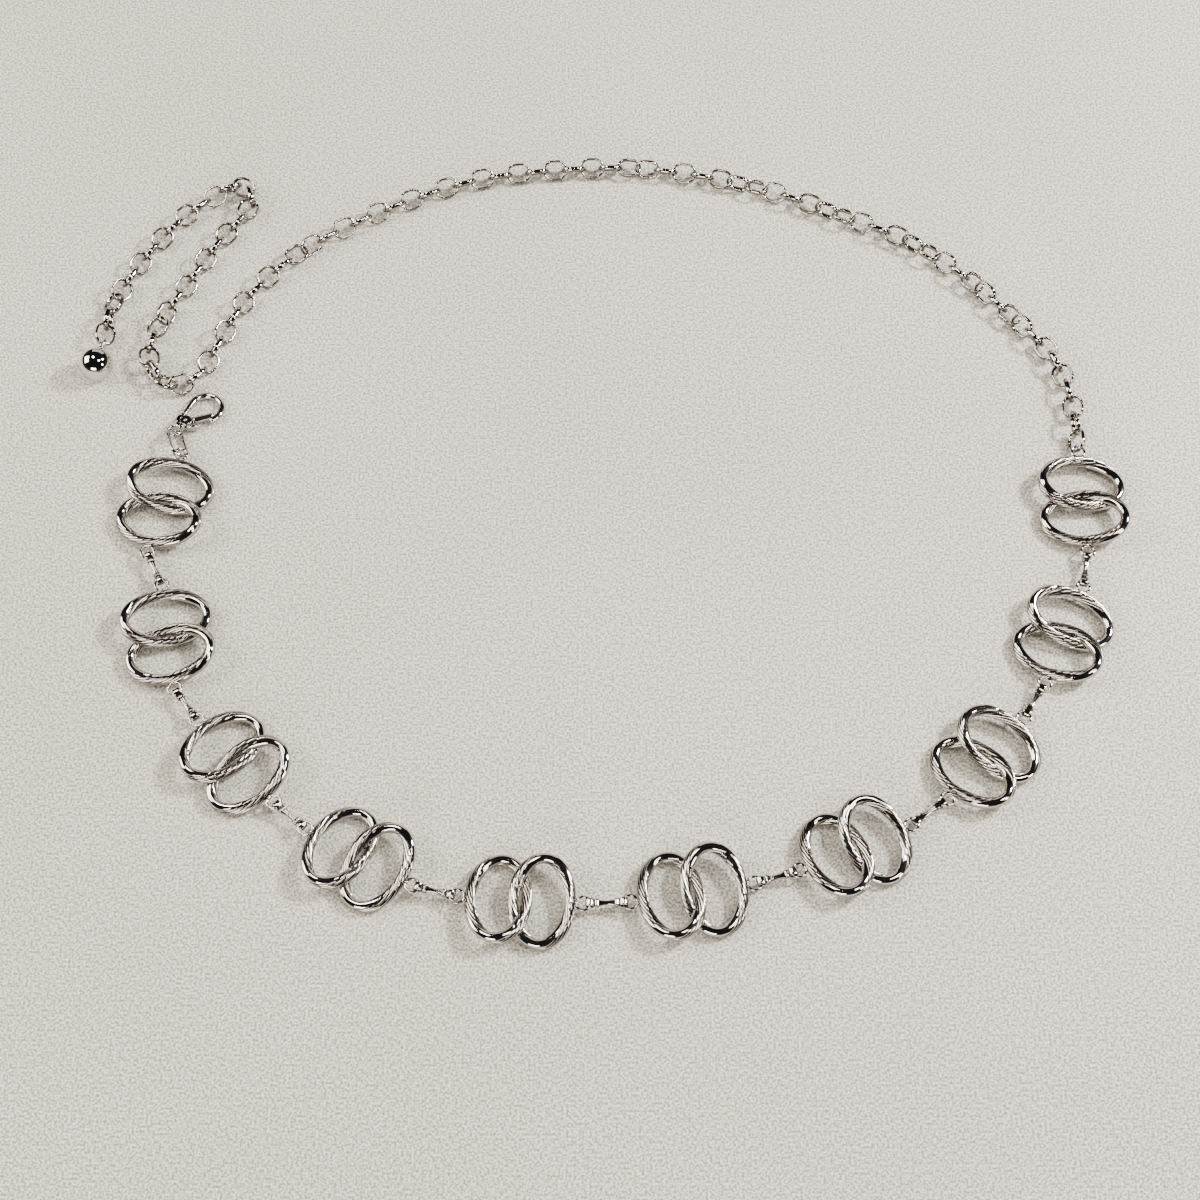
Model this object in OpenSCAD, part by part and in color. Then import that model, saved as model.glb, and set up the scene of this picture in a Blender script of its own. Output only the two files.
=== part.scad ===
// Metal waist chain, lying open on a flat surface.
// Ten cast ornaments of two interlaced oval rings are joined by nine folded strip
// connectors. One end of the row carries a lobster clasp on an oval link, the other end
// a cable chain whose free tail ends in a polished ball.
// Units are millimetres. The origin is on the surface, at the middle of the laid outline.

/* [Ornament rings] */
// Outside length of one oval ring, across the chain
ring_len = 26.4; // [22:0.1:30]
// Outside width of one oval ring, along the chain
ring_wid = 18.2; // [16:0.1:22]
// Greatest thickness of the twisted ring tube, across its two strands
ring_wire = 3.5; // [3:0.1:4]
// Depth of the two valleys where the smooth strand and the reeded strand meet
valley_depth = 0.3; // [0.2:0.05:0.4]
// How far the two interlaced rings reach over each other, along the chain
ring_overlap = 6.5; // [6:0.1:7.5]
// Tilt of each ring that lets it pass over the other one at one crossing
ring_tilt = 7.5; // [6:0.5:12]
// Depth of the flutes in the reeded strand
flute_depth = 0.2; // [0.1:0.05:0.3]
// Whole turns of the two strands along one ring
flute_turns = 2; // [1:1:4]

/* [Eyelets] */
// Outside diameter of the eyelet at each end of an ornament
eyelet_d = 4.6; // [4.4:0.1:5.4]
// Thickness of the eyelet wire
eyelet_wire = 0.8; // [0.7:0.05:0.9]
// Depth to which an eyelet is sunk into its ring
eyelet_sink = 0.3; // [0.2:0.05:0.5]
// Diameter of the bead of solder under an eyelet
solder_d = 1.3; // [1:0.1:1.6]

/* [Connectors] */
// Distance between the two knuckle bores of a connector
con_len = 9.1; // [8:0.1:11]
// Width of the rolled knuckle
knuckle_w = 2.2; // [1.6:0.1:2.4]
// Least gap between a knuckle and its eyelet, inside the knuckle's bore
knuckle_gap = 0.11; // [0.1:0.01:0.2]
// Wall of the rolled knuckle
knuckle_wall = 0.38; // [0.3:0.02:0.5]
// Width of the strip at its shoulders
shoulder_w = 2.5; // [2.2:0.1:3]
// Width of the strip at its pinched waist
pinch_w = 1.3; // [1:0.1:1.8]
// Thickness of the folded strip
strip_t = 1.1; // [0.9:0.1:1.4]
// Diameter of the raised bar across each shoulder
bar_d = 1.5; // [1.3:0.1:1.8]
// Play of one knuckle on its eyelet, each way from the middle
knuckle_play = 0.15; // [0.1:0.05:0.2]

/* [Cable chain] */
// Outside length of a chain link
link_len = 8.1; // [7.8:0.1:9]
// Outside width of a chain link
link_wid = 6.55; // [6.4:0.05:7]
// Thickness of the link wire, in the plane of the link
link_wire = 0.88; // [0.76:0.02:0.92]
// Width of the link wire, which is rolled flat, across the plane of the link
link_band = 1.5; // [1.2:0.05:1.6]
// Radius to which both faces of the link wire are domed
link_dome = 1.05; // [1:0.05:1.3]
// Free play between two links of a straight stretch
link_play = 0.36; // [0.3:0.02:0.5]

/* [Clasp] */
// Outside length of the oval link that carries the clasp
oval_len = 11; // [10:0.1:13]
// Outside width of the oval link
oval_wid = 6.2; // [5.9:0.1:7]
// Thickness of the oval link's wire
oval_wire = 1; // [0.9:0.05:1.1]
// Outside diameter of the clasp's eye
clasp_eye_d = 4.4; // [4.3:0.1:5]
// Thickness of the clasp's eye
clasp_eye_wire = 0.9; // [0.8:0.05:1]
// Distance from the clasp's eye to the centre of its hook bend
hook_reach = 12.6; // [12:0.1:15]
// Outside diameter of the hook bend
hook_d = 11.3; // [11:0.1:12.5]
// Thickness of the hook
hook_wire = 2; // [1.6:0.1:2.1]
// Thickness of the clasp's forked base
base_t = 2.8; // [2.6:0.1:3.4]
// Thickness of the lever where it turns in the fork
lever_t = 1.3; // [1:0.1:1.5]
// Clearance between the lever and the fork's cheeks, each side
lever_gap = 0.12; // [0.1:0.02:0.2]
// Diameter of the pivot pin
pin_d = 1; // [0.8:0.1:1.2]
// Radial clearance of the lever on its pin
pin_gap = 0.06; // [0.04:0.01:0.1]
// Width of the lever's arm at its tip
lever_w = 2; // [1.6:0.1:2.2]
// Width of the lever's thumb tab
tab_w = 1; // [0.8:0.1:1.3]
// Depth to which the shut lever's tip is let into the hook's end
tip_depth = 0.6; // [0.4:0.05:0.8]
// Gap between the shut lever and its seat in the hook's end
tip_gap = 0.12; // [0.1:0.02:0.2]

/* [End ball] */
// Diameter of the ball
ball_d = 10.3; // [9:0.1:12]
// Length of the short neck between the ball and its loop
neck_len = 1.6; // [0.5:0.1:3]
// Diameter of the neck
neck_d = 2; // [1.4:0.1:3]
// Outside diameter of the ball's wire loop
loop_d = 4.4; // [4:0.1:5]
// Thickness of the loop wire
loop_wire = 0.9; // [0.7:0.05:1]

/* [Hidden] */
$fn = 48;

// The row of ornaments, from the clasp end: heading of the ornament, heading of the
// connector after it, and how far that connector is pulled (-1 pushed in, 1 taut).
ROW = [
  [-101.5, -64.5, -1],
  [-78.5, -53.5, -1],
  [-47, -40, -1],
  [-29, -14, 0.7],
  [-3.5, 2, 1],
  [9, 17, 1],
  [23, 36.5, 1],
  [46.5, 57.5, 0.9],
  [65.5, 77.5, -0.9],
  [89, 0, 0]
];
last = len(ROW) - 1;

// Chosen points of the cable chain's route after the last ornament, on the same plan
// as ROW_START. The second list goes on from the first and is the free tail.
ROW_START = [-124.9, 345.9];
WAIST_ROUTE = [
  [142.3, 366], [138, 381.5], [128, 395], [114, 411], [97.5, 424.5], [77, 434.7], [55, 444.3],
  [32, 450.8], [9, 454], [-14, 453.3], [-38, 449.7], [-60, 441.5], [-81, 430], [-97.5, 417.5],
  [-110, 402], [-117, 386]
];
TAIL_ROUTE = [
  [-121.5, 375.5], [-128.5, 370.8], [-135.5, 375], [-137.8, 384.5], [-134, 397], [-128, 409],
  [-120.5, 423.5], [-112, 436.5], [-111.5, 443.5], [-116.5, 446.6], [-124, 441.5], [-132.5, 433.5],
  [-140, 422.8], [-145.5, 413], [-149.8, 402.5], [-151.8, 393], [-151.9, 386.2]
];
// How far the chain has turned about its own route at chosen links: link, degrees
TWIST = [
  [0, -57], [1, 60], [2, 163], [3, 251], [5, 428], [7, 599], [13, 955], [23, 1673], [28, 2032],
  [30, 2212], [33, 2392], [47, 3652], [49, 3833], [52, 4015], [54, 4198], [58, 4560],
  [60, 4736], [61, 4820], [62, 4895], [63, 4965], [65, 5150], [68, 5339], [74, 5879], [78, 6177],
  [86, 6897], [87, 6987], [90, 7167]
];
// How much closer than taut the links lie at chosen links: link, millimetres
SLACK = [
  [0, 0], [3, 0.2], [4, 0.6], [12, 0.6], [14, 0.02], [35, 0.06], [59, 0], [61, 0.2],
  [78, 0.3], [90, 0.3]
];

// Route steps between two chosen points
route_steps = 16;
// Millimetres off a link's pitch for each unit of one minus the cosine of the bend
bend_give = 2.1;
// Links over which the chain comes down from the last eyelet
landing_links = 5;

// The tube is narrower across its valleys, which face sideways at the ends of both axes
ring_narrow = ring_wire - 2 * valley_depth;
ring_a = (ring_len - ring_narrow) / 2;
ring_b = (ring_wid - ring_narrow) / 2;
ring_shift = ring_wid - ring_overlap;
ring_stations = 39;
// The turn of the section where a ring begins, on its long side: the reeds lie on top
ring_start = -90;
// The tube's section: angle round the tube and 1 where a flute is cut in. Three ridges
// are on one side and one smooth strand is on the other.
SECTION = [
  [0, 0], [60, 0], [93, 1], [120, 0], [150, 1],
  [180, 0], [210, 1], [240, 0], [267, 1], [300, 0]
];
pair_len = ring_shift + ring_wid;
eyelet_r = (eyelet_d - eyelet_wire) / 2;
orn_len = pair_len + eyelet_d - 2 * eyelet_sink;
orn_z = ring_a * sin(ring_tilt) + ring_wire / 2;

// A knuckle's bore takes in the eyelet's wire: its inner wall stays clear of the eyelet's
// hole up to the knuckle's edges, its outer wall stays clear of the eyelet's outside
wall_in = sqrt(pow(eyelet_r - eyelet_wire / 2 - knuckle_gap, 2) - pow(knuckle_w / 2, 2));
wall_out = eyelet_d / 2 + knuckle_gap;
knuckle_seat = (wall_out + wall_in) / 2;
knuckle_bore = wall_out - wall_in + 2 * knuckle_play;
knuckle_d = knuckle_bore + 2 * knuckle_wall;
// Overlap of the raised bar with the knuckle beside it
bar_sink = 0.15;

link_end = (link_len - link_wire) / 2;
link_r = (link_wid - link_wire) / 2;
link_pitch = link_len - 2 * link_wire - link_play;
// Thickness left at the two rims of a link's domed band
link_rim = link_wire - 2 * (link_dome - sqrt(link_dome * link_dome - link_band * link_band / 4));
// Distance from an eyelet's centre to the wire that hangs in it, which lies at a slant there
eyelet_clear = 0.52;
eyelet_seat = eyelet_d / 2 - eyelet_wire - link_wire / 2 - eyelet_clear;

oval_roll = 42;
oval_heading = 109;
oval_seat = 0.35;
clasp_heading = 44.5;
clasp_eye_r = (clasp_eye_d - clasp_eye_wire) / 2;
clasp_eye_z = 2.5;
hook_r = (hook_d - hook_wire) / 2;
clasp_pitch = asin((clasp_eye_z - hook_wire / 2) / (hook_reach + hook_r));

// Plan of the clasp, with its eye's centre at the origin and its hook along X
clasp_gap = 0.1;
base_x = clasp_eye_d / 2 - clasp_eye_wire / 2;
pivot_x = clasp_eye_d / 2 + 2.5;
lever_r = pin_d / 2 + 0.65;
slot_r = lever_r + 1.5 * clasp_gap;
slot_t = lever_t + 2 * lever_gap;
cheek_r = slot_r + 0.6;
// The arm runs from the base past the lever's knuckle and meets the hook bend squarely
arm_wire = 0.6 * hook_wire;
arm_off = slot_r + arm_wire / 2 + clasp_gap;
arm_heading = asin((hook_r - arm_off) / (hook_reach - pivot_x));
arm_to = [hook_reach, 0] + hook_r * dir(90 + arm_heading);
arm_from = arm_to - (arm_to[0] - pivot_x + 0.4) / cos(arm_heading) * dir(arm_heading);
// The solid base behind and above the lever's slot
BASE_OUTLINE = [
  [base_x, -1], [base_x, 1], [arm_from[0] - 0.4, arm_from[1] + 0.4],
  [pivot_x + 1.1, arm_off + 0.65], [pivot_x + 1.6, 1], [pivot_x, 0],
  [pivot_x - 1.5, -cheek_r + 0.4]
];
hook_tip_x = hook_reach - 1.7;
lever_root_w = lever_w + 0.2;
lever_tip = [hook_tip_x + 0.8, (lever_w + hook_wire) / 2 - hook_r - tip_depth];
// Beyond this distance from the pivot the lever is as thick as the hook
lever_free_r = cheek_r + clasp_gap;
// The thumb tab leaves the fork and curls outward: shares of the reach from the pivot to the
// hook's bend, and of the hook's radius
TAB = [[-0.076, -0.41], [0.127, -0.67], [0.278, -0.9], [0.373, -1.12]];
tab_path = [for (p = TAB) [pivot_x + p[0] * (hook_reach - pivot_x), p[1] * hook_r]];

loop_r = (loop_d - loop_wire) / 2;

function dir(a) = [cos(a), sin(a)];
function heading(v) = atan2(v[1], v[0]);
function sum_to(list, n) = n < 0 ? 0 : list[n] + sum_to(list, n - 1);

// Plan of the row: each ornament starts where the connector before it ends
function con_reach(i) = con_len + 2 * (knuckle_seat + knuckle_play * ROW[i][2]);
function orn_start(i) = i == 0 ? ROW_START : orn_end(i - 1) + con_reach(i - 1) * dir(ROW[i - 1][1]);
function orn_end(i) = orn_start(i) + orn_len * dir(ROW[i][0]);

// Plan of the chain: a smooth curve through the chosen points
chain_start = orn_end(last)
  + (eyelet_seat + link_end) * dir(heading(WAIST_ROUTE[0] - orn_end(last)));
route = concat([chain_start], WAIST_ROUTE, TAIL_ROUTE);
function route_at(i) = route[min(len(route) - 1, max(0, i))];
function curve(a, b, c, d, t) = 0.5 * (2 * b + (c - a) * t
  + (2 * a - 5 * b + 4 * c - d) * t * t
  + (3 * b - a - 3 * c + d) * t * t * t);
path = concat(
  [for (i = [0:len(route) - 2]) for (k = [0:route_steps - 1])
    curve(route_at(i - 1), route_at(i), route_at(i + 1), route_at(i + 2), k / route_steps)],
  [route[len(route) - 1]]
);
// Path index of the place where the tail takes over from the waist run
tail_from = len(WAIST_ROUTE) * route_steps;

// First path index at or after i that lies a given distance or more from point p
function reach_index(p, i, far) =
  i >= len(path) ? i : norm(path[i] - p) >= far ? i : reach_index(p, i + 1, far);
function turn(i, j) = let (a = heading(path[i + 1] - path[i]), b = heading(path[j] - path[j - 1]))
  acos(cos(b - a));
// Centre distance to the next link, shorter where the chain bends
function pitch_at(n, i, p) = let (j = min(len(path) - 1, reach_index(p, i, link_pitch)))
  link_pitch - lookup(n, SLACK) - bend_give * (1 - cos(turn(max(0, i - 1), j)));
// The point between path points i - 1 and i that lies at the given distance from p
function meet(p, i, far) = let (
    a = path[i - 1] - p, u = path[i] - path[i - 1],
    qa = u * u, qb = 2 * (a * u), qc = a * a - far * far,
    t = (-qb + sqrt(qb * qb - 4 * qa * qc)) / (2 * qa))
  path[i - 1] + t * u;
// Every link's centre, each at its pitch from the last, with its path index
function walk(n, p, i) = let (far = pitch_at(n, i, p), j = reach_index(p, i, far))
  j >= len(path) ? [[p[0], p[1], i]]
  : concat([[p[0], p[1], i]], walk(n + 1, meet(p, j, far), j));
LINKS = walk(0, path[0], 1);
link_count = len(LINKS);
tail_first = len([for (k = LINKS) if (k[2] < tail_from) 1]);

function link_at(n) = [LINKS[n][0], LINKS[n][1]];
function link_heading(n) = heading(link_at(min(link_count - 1, n + 1)) - link_at(max(0, n - 1)));
function link_roll(n) = lookup(n, TWIST);
// Reach of the band's section below its middle: to its dome, or to the rim's lower edge
function band_drop(s, c) = c > link_band / 2 / link_dome ? s * link_rim / 2 + c * link_band / 2
  : link_dome - (link_dome - link_wire / 2) * s;
// A link rests on its lower side, or hangs between neighbours that stand higher
function half_height(n) = let (s = abs(sin(link_roll(n))), c = abs(cos(link_roll(n))))
  link_r * s + band_drop(s, c);
function high_near(n) = max([for (k = [n - 2:n + 2]) half_height(min(link_count - 1, max(0, k)))]);
function rest_z(n) = (high_near(n - 1) + high_near(n) + high_near(n + 1)) / 3;
function link_z(n) = rest_z(n) + (orn_z - rest_z(0)) * max(0, 1 - n / landing_links);

// Plan of the ends: the clasp, and the ball beyond the last link
oval_reach = oval_len - oval_wire - 2 * oval_seat;
oval_pitch = asin((orn_z - clasp_eye_z) / oval_reach);
clasp_eye = ROW_START + oval_reach * cos(oval_pitch) * dir(oval_heading);
end_heading = link_heading(link_count - 1);
end_wire = link_at(link_count - 1) + link_end * dir(end_heading);
loop_z = link_z(link_count - 1);
loop_hole = loop_r - loop_wire / 2;
loop_at = end_wire + (loop_hole - link_wire / 2 - link_play) * dir(end_heading);
loop_reach = ball_d / 2 + neck_len + loop_r;
loop_drop = ball_d / 2 - loop_z;
ball_at = loop_at + sqrt(loop_reach * loop_reach - loop_drop * loop_drop) * dir(end_heading);

// The middle of the laid outline, which becomes the origin
function ring_centre(i, s) = (orn_start(i) + orn_end(i)) / 2 + s * ring_shift / 2 * dir(ROW[i][0]);
function ring_span(i, ax) = let (h = ROW[i][0] + ax * 90)
  norm([ring_b * cos(h), ring_a * cos(ring_tilt) * sin(h)]) + ring_narrow / 2;
function ring_sides(ax, s) = [for (i = [0:last]) for (k = [-1, 1])
  ring_centre(i, k)[ax] + s * ring_span(i, ax)];
function chain_sides(ax, s) = [for (n = [0:link_count - 1]) link_at(n)[ax] + s * link_len / 2];
function side(ax, s) = concat(ring_sides(ax, s), chain_sides(ax, s), [ball_at[ax] + s * ball_d / 2]);
middle = [for (ax = [0, 1]) (min(side(ax, -1)) + max(side(ax, 1))) / 2];

module at(p, z) {
  translate([p[0] - middle[0], p[1] - middle[1], z])
    children();
}

module torus(r, wire) {
  rotate_extrude()
    translate([r, 0])
      circle(d = wire, $fn = 24);
}

// One twisted ring: the section turns as it goes round the oval. The turn follows the
// length of tube, so that the strands are even all the way round.
function ring_point(i) = [ring_b * cos(360 * i / ring_stations), ring_a * sin(360 * i / ring_stations)];
ring_steps = [for (i = [0:ring_stations - 1]) norm(ring_point(i + 1) - ring_point(i))];
ring_total = sum_to(ring_steps, ring_stations - 1);
function ring_out(i) = let (
    t = 360 * i / ring_stations,
    v = [ring_a * cos(t), ring_b * sin(t)])
  v / norm(v);
function section_point(i, k) = let (
    q = SECTION[k][0] + ring_start + 360 * flute_turns * sum_to(ring_steps, i - 1) / ring_total,
    r = ring_wire / 2 - valley_depth * pow(sin(SECTION[k][0]), 2) - flute_depth * SECTION[k][1],
    c = ring_point(i), o = ring_out(i))
  [c[0] + r * cos(q) * o[0], c[1] + r * cos(q) * o[1], r * sin(q)];

module twisted_ring() {
  sides = len(SECTION);
  points = [for (i = [0:ring_stations - 1]) for (k = [0:sides - 1]) section_point(i, k)];
  function id(i, k) = (i % ring_stations) * sides + k % sides;
  faces = [for (i = [0:ring_stations - 1]) for (k = [0:sides - 1]) each [
    [id(i, k), id(i, k + 1), id(i + 1, k)],
    [id(i, k + 1), id(i + 1, k + 1), id(i + 1, k)]
  ]];
  polyhedron(points, faces, convexity = 6);
}

// One ornament, lying along X with its middle at the origin
module ornament_shape() {
  rotate([-ring_tilt, 0, 0])
    translate([-ring_shift / 2, 0, 0])
      twisted_ring();
  rotate([ring_tilt, 0, 0])
    translate([ring_shift / 2, 0, 0])
      twisted_ring();
  for (s = [-1, 1]) {
    translate([s * orn_len / 2, 0, 0])
      torus(eyelet_r, eyelet_wire);
    translate([s * pair_len / 2, 0, 0])
      rotate([0, 90, 0])
        sphere(d = solder_d, $fn = 24);
  }
}

module ornament(i) {
  color("silver")
    at((orn_start(i) + orn_end(i)) / 2, orn_z)
      rotate([0, 0, ROW[i][0]])
        ornament_shape();
}

// One connector, lying along X with its middle at the origin: a folded strip that two
// round cuts pinch in, a raised bar across each shoulder, and a rolled knuckle beside it
module connector_shape() {
  half = con_len / 2;
  shoulder_x = half - (knuckle_d + bar_d) / 2 + bar_sink;
  side_w = shoulder_w - bar_sink;
  pinch = (side_w - pinch_w) / 2;
  cut_r = (shoulder_x * shoulder_x + pinch * pinch) / (2 * pinch);
  difference() {
    union() {
      difference() {
        cube([2 * shoulder_x + bar_d / 2, side_w, strip_t], center = true);
        for (s = [-1, 1])
          translate([0, s * (pinch_w / 2 + cut_r), 0])
            cylinder(r = cut_r, h = 2 * strip_t, center = true, $fn = 96);
      }
      for (s = [-1, 1]) {
        translate([s * half, 0, 0])
          rotate([90, 0, 0])
            cylinder(d = knuckle_d, h = knuckle_w, center = true);
        translate([s * shoulder_x, 0, 0])
          rotate([90, 0, 0])
            cylinder(d = bar_d, h = shoulder_w, center = true);
      }
    }
    for (s = [-1, 1])
      translate([s * half, 0, 0])
        rotate([90, 0, 0])
          cylinder(d = knuckle_bore, h = 2 * shoulder_w, center = true);
  }
}

module connector(i) {
  color("gainsboro")
    at((orn_end(i) + orn_start(i + 1)) / 2, orn_z)
      rotate([0, 0, ROW[i][1]])
        connector_shape();
}

// The section of a link's wire: a band that is domed inside and outside, with flat rims
module band_section() {
  intersection() {
    translate([link_wire / 2 - link_dome, 0])
      circle(r = link_dome, $fn = 48);
    translate([link_dome - link_wire / 2, 0])
      circle(r = link_dome, $fn = 48);
    square([2 * link_wire, link_band], center = true);
  }
}

// A closed oval link of two half rings and two straight sides, lying flat along X. The
// section of its wire is the child.
module link_shape(length, width, wire) {
  r = (width - wire) / 2;
  half = (length - width) / 2;
  for (s = [-1, 1])
    translate([s * half, 0, 0])
      rotate([0, 0, -90 * s])
        rotate_extrude(angle = 180)
          translate([r, 0])
            children();
  for (s = [-1, 1])
    translate([-half, s * r, 0])
      rotate([90, 0, 90])
        linear_extrude(2 * half)
          children();
}

module links(first, after) {
  color("lightgray")
    for (n = [first:after - 1])
      at(link_at(n), link_z(n))
        rotate([0, 0, link_heading(n)])
          rotate([link_roll(n), 0, 0])
            link_shape(link_len, link_wid, link_wire)
              band_section();
}

module waist_run() {
  links(0, tail_first);
}

module tail_run() {
  links(tail_first, link_count);
}

module clasp_link() {
  color("lightgray")
    at(ROW_START + oval_reach * cos(oval_pitch) / 2 * dir(oval_heading), (orn_z + clasp_eye_z) / 2)
      rotate([0, 0, oval_heading])
        rotate([0, oval_pitch, 0])
          rotate([oval_roll, 0, 0])
            link_shape(oval_len, oval_wid, oval_wire)
              circle(d = oval_wire, $fn = 24);
}

module clasp_place() {
  at(clasp_eye, clasp_eye_z)
    rotate([0, 0, clasp_heading])
      rotate([0, clasp_pitch, 0])
        children();
}

// A round bar from a to b in the clasp's plane, tapering from one diameter to another
module bar(a, b, d_a, d_b) {
  translate([a[0], a[1], 0])
    rotate([0, 0, heading(b - a)])
      rotate([0, 90, 0])
        cylinder(d1 = d_a, d2 = d_b, h = norm(b - a), $fn = 32);
}

// A flat finger from a to b, with a rounded end
module finger(a, b, w_a, w_b) {
  u = dir(heading(b - a) + 90);
  polygon([a + w_a / 2 * u, a - w_a / 2 * u, b - (w_b - 0.04) / 2 * u, b + (w_b - 0.04) / 2 * u]);
  translate(b)
    circle(d = w_b, $fn = 32);
}

// The hook with its arm, and a seat cut in the hook's end where the shut lever lies
module clasp_hook() {
  difference() {
    union() {
      bar(arm_from, arm_to, arm_wire, hook_wire);
      translate([arm_to[0], arm_to[1], 0])
        sphere(d = hook_wire + 0.1, $fn = 32);
      translate([hook_reach, 0, 0])
        rotate([0, 0, -90])
          rotate_extrude(angle = 180 + arm_heading, $fn = 96)
            translate([hook_r, 0])
              circle(d = hook_wire, $fn = 32);
      bar([hook_tip_x, -hook_r], [hook_reach, -hook_r], hook_wire, hook_wire);
      translate([hook_tip_x, -hook_r, 0])
        sphere(d = hook_wire + 0.1, $fn = 32);
    }
    linear_extrude(2 * hook_wire, center = true)
      finger([pivot_x, 0], lever_tip, lever_root_w + 2 * tip_gap, lever_w + 2 * tip_gap);
  }
}

module clasp_body() {
  color("silver")
    clasp_place() {
      clasp_hook();
      torus(clasp_eye_r, clasp_eye_wire);
      difference() {
        linear_extrude(base_t, center = true) {
          polygon(BASE_OUTLINE);
          translate([pivot_x, 0])
            circle(r = cheek_r);
        }
        translate([pivot_x - slot_r, slot_r - 5 * cheek_r, -slot_t / 2])
          cube([5 * cheek_r, 5 * cheek_r, slot_t]);
      }
      translate([pivot_x, 0, 0])
        cylinder(d = pin_d, h = base_t + 0.3, center = true, $fn = 32);
    }
}

// The lever: a thin barrel and thin roots that turn between the fork's cheeks, and outside
// them the arm and the tab, as thick as the hook
module clasp_lever() {
  thin = 0.1;
  color("gainsboro")
    clasp_place()
      difference() {
        union() {
          linear_extrude(lever_t, center = true) {
            translate([pivot_x, 0])
              circle(r = lever_r);
            finger([pivot_x, 0], lever_tip, lever_root_w - thin, lever_w - thin);
            finger([pivot_x, 0], tab_path[0], tab_w - thin, tab_w - thin);
            finger(tab_path[0], tab_path[1], tab_w - thin, tab_w - thin);
          }
          difference() {
            linear_extrude(hook_wire, center = true) {
              finger([pivot_x, 0], lever_tip, lever_root_w, lever_w);
              for (i = [1:len(tab_path) - 1])
                finger(tab_path[i - 1], tab_path[i], tab_w, tab_w);
            }
            translate([pivot_x, 0, 0])
              cylinder(r = lever_free_r, h = 2 * hook_wire, center = true, $fn = 64);
          }
        }
        translate([pivot_x, 0, 0])
          cylinder(d = pin_d + 2 * pin_gap, h = 2 * lever_t, center = true, $fn = 32);
      }
}

module end_ball() {
  color("silver") {
    at(ball_at, ball_d / 2)
      sphere(d = ball_d, $fn = 96);
    at(ball_at, ball_d / 2)
      rotate([0, 0, end_heading + 180])
        rotate([0, 90 + asin(loop_drop / loop_reach), 0])
          cylinder(d = neck_d, h = loop_reach - loop_r + loop_wire / 4, $fn = 32);
    at(loop_at, loop_z)
      rotate([0, 0, end_heading])
        rotate([link_roll(link_count - 1) + 90, 0, 0])
          torus(loop_r, loop_wire);
  }
}

ornament(0);  // ornament_01
ornament(1);  // ornament_02
ornament(2);  // ornament_03
ornament(3);  // ornament_04
ornament(4);  // ornament_05
ornament(5);  // ornament_06
ornament(6);  // ornament_07
ornament(7);  // ornament_08
ornament(8);  // ornament_09
ornament(9);  // ornament_10
connector(0);  // connector_01
connector(1);  // connector_02
connector(2);  // connector_03
connector(3);  // connector_04
connector(4);  // connector_05
connector(5);  // connector_06
connector(6);  // connector_07
connector(7);  // connector_08
connector(8);  // connector_09
clasp_link();
clasp_body();
clasp_lever();
waist_run();
tail_run();
end_ball();
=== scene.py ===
"""The looks of a metal waist chain that lies open on a pale table.

The plan is worked out again from the same chosen points as the frame's, in millimetres, and each
piece is a smooth skin over points that are computed as whole arrays. A skin is four arrays: its
points, its four-sided faces, its three-sided faces, and how much painted shade each point gets.
"""
import math

import bpy
import numpy as np
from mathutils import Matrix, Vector


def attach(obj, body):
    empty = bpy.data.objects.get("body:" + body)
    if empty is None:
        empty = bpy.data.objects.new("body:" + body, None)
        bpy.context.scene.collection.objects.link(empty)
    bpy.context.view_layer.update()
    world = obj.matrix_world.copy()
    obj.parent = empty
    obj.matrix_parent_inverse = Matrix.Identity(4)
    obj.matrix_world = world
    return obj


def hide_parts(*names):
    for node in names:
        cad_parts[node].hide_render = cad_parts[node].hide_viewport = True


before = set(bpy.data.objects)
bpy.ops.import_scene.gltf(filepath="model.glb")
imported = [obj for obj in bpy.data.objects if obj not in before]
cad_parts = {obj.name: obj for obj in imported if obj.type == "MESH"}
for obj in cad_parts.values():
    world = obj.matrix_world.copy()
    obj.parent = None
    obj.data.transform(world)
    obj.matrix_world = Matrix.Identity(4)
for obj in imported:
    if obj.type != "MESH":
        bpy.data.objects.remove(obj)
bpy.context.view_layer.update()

METRE = 0.001
ACROSS, UP = np.array([0.0, 1.0, 0.0]), np.array([0.0, 0.0, 1.0])

# ---- Sizes of the real pieces, in millimetres ----

RING_LEN, RING_WID, RING_WIRE, VALLEY_DEPTH = 26.4, 18.2, 3.5, 0.3
RING_OVERLAP, RING_TILT, FLUTE_TURNS, RING_START = 6.5, 7.5, 2, -90.0
EYELET_D, EYELET_WIRE, EYELET_SINK, EYELET_CLEAR = 4.6, 0.8, 0.3, 0.52
CON_LEN, KNUCKLE_W, KNUCKLE_GAP, KNUCKLE_WALL, KNUCKLE_PLAY = 9.1, 2.2, 0.11, 0.38, 0.15
SHOULDER_W, PINCH_W, STRIP_T, BAR_D, BAR_SINK = 2.5, 1.3, 1.1, 1.5, 0.15
LINK_LEN, LINK_WID, LINK_WIRE, LINK_BAND, LINK_DOME, LINK_PLAY = 8.1, 6.55, 0.88, 1.5, 1.05, 0.36
OVAL_LEN, OVAL_WID, OVAL_WIRE = 11.0, 6.2, 1.0
OVAL_ROLL, OVAL_HEADING, OVAL_SEAT = 42.0, 109.0, 0.35
CLASP_EYE_D, CLASP_EYE_WIRE, CLASP_EYE_Z, CLASP_HEADING = 4.4, 0.9, 2.5, 44.5
HOOK_REACH, HOOK_D, HOOK_WIRE, BASE_T = 12.6, 11.3, 2.0, 2.8
LEVER_T, LEVER_GAP, PIN_D, PIN_GAP, LEVER_W, TAB_W = 1.3, 0.12, 1.0, 0.06, 2.0, 1.0
TIP_DEPTH, TIP_GAP, TIP_LAP, TIP_BACK = 0.6, 0.12, 0.8, 1.7
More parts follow.
